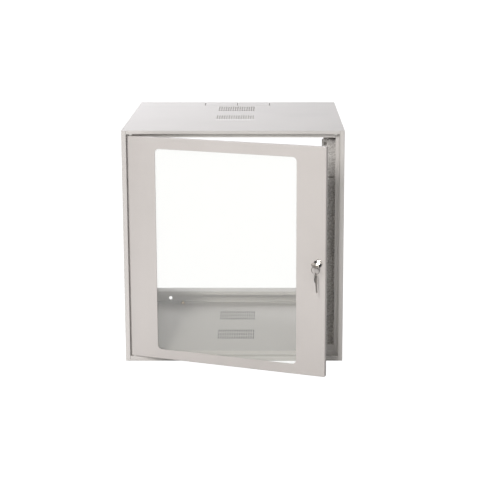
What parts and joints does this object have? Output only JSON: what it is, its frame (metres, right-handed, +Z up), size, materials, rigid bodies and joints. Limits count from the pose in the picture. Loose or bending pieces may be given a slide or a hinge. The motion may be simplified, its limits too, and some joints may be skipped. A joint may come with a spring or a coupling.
{
  "type": "wall mount network cabinet",
  "caption": "Box-shaped steel wall cabinet for rack equipment, with vented top and floor, pierced rack rails, and a hinged glazed door with a key lock, standing ajar.",
  "frame": {"origin": "centre of the four wall-fixing holes, in the rear plane that lies against the wall", "axes": "+Z up, +Y into the wall (the cabinet's front and door face -Y), +X to the right seen from the front"},
  "size_m": [0.5626, 0.8174, 0.6],
  "materials": {
    "body_paint": "light grey fine-textured powder coat",
    "door_paint": "light grey fine-textured powder coat",
    "galvanised": "galvanised, spangled",
    "zinc_plate": "bright zinc plate",
    "brass": "plain",
    "nylon": "natural nylon",
    "glass": "clear toughened glass",
    "foam": "black foam tape",
    "rubber": "soft black rubber",
    "lock_chrome": "polished chrome",
    "key_metal": "nickel plate"
  },
  "bodies": {
    "cabinet": {"top_panel": "body_paint", "bottom_panel": "body_paint", "left_side_panel": "body_paint", "right_side_panel": "body_paint", "rear_top_channel": "body_paint", "rear_bottom_channel": "body_paint", "left_mounting_rail": "galvanised", "right_mounting_rail": "galvanised", "left_upper_depth_brace": "galvanised", "right_upper_depth_brace": "galvanised", "left_lower_depth_brace": "galvanised", "right_lower_depth_brace": "galvanised", "brace_rivets": "body_paint", "rail_bolts": "zinc_plate", "rail_nuts": "zinc_plate", "earth_stud": "brass", "earth_nut": "brass", "pivot_bushes": "nylon"},
    "door": {"door_frame": "door_paint", "door_glass": "glass", "glass_tape": "foam", "glass_clips": "galvanised", "glass_clip_nuts": "zinc_plate", "door_buffers": "rubber", "upper_hinge_bracket": "door_paint", "lower_hinge_bracket": "door_paint", "upper_pin_spring": "zinc_plate", "lower_hinge_pin": "zinc_plate", "lock_body": "lock_chrome", "lock_nut": "zinc_plate"},
    "hinge_pin": {"upper_hinge_pin": "zinc_plate"},
    "lock_core": {"lock_plug": "lock_chrome", "lock_cam": "zinc_plate", "cam_screw": "zinc_plate", "key": "key_metal"},
    "key_ring": {"key_ring": "key_metal"},
    "spare_key": {"spare_key": "key_metal"}
  },
  "joints": [
    {"name": "door_hinge", "type": "hinge", "parent": "cabinet", "child": "door", "pos_m": [-0.257, -0.594, 0.0005], "axis": [0, 0, -1], "range_deg": [-20.9, 94.1]},
    {"name": "upper_pin_slide", "type": "slide", "parent": "door", "child": "hinge_pin", "axis": [0, 0, -1], "range_m": [0, 0.009], "stiffness_N_per_m": 400, "springref_m": -0.006, "deforming": ["upper_pin_spring"]},
    {"name": "lock_turn", "type": "hinge", "parent": "door", "child": "lock_core", "pos_m": [0.20927, -0.77847, 0.0005], "axis": [0.3567, 0.9342, 0], "range_deg": [-30, 60]},
    {"name": "ring_swing", "type": "hinge", "parent": "lock_core", "child": "key_ring", "pos_m": [0.20194, -0.80693, 0.00058], "axis": [0.3567, 0.9342, 0], "range_deg": [-45, 8]},
    {"name": "spare_key_swing", "type": "hinge", "parent": "key_ring", "child": "spare_key", "pos_m": [0.20194, -0.80693, -0.01942], "axis": [0.9342, -0.3567, 0], "range_deg": [-20, 20]}
  ]
}
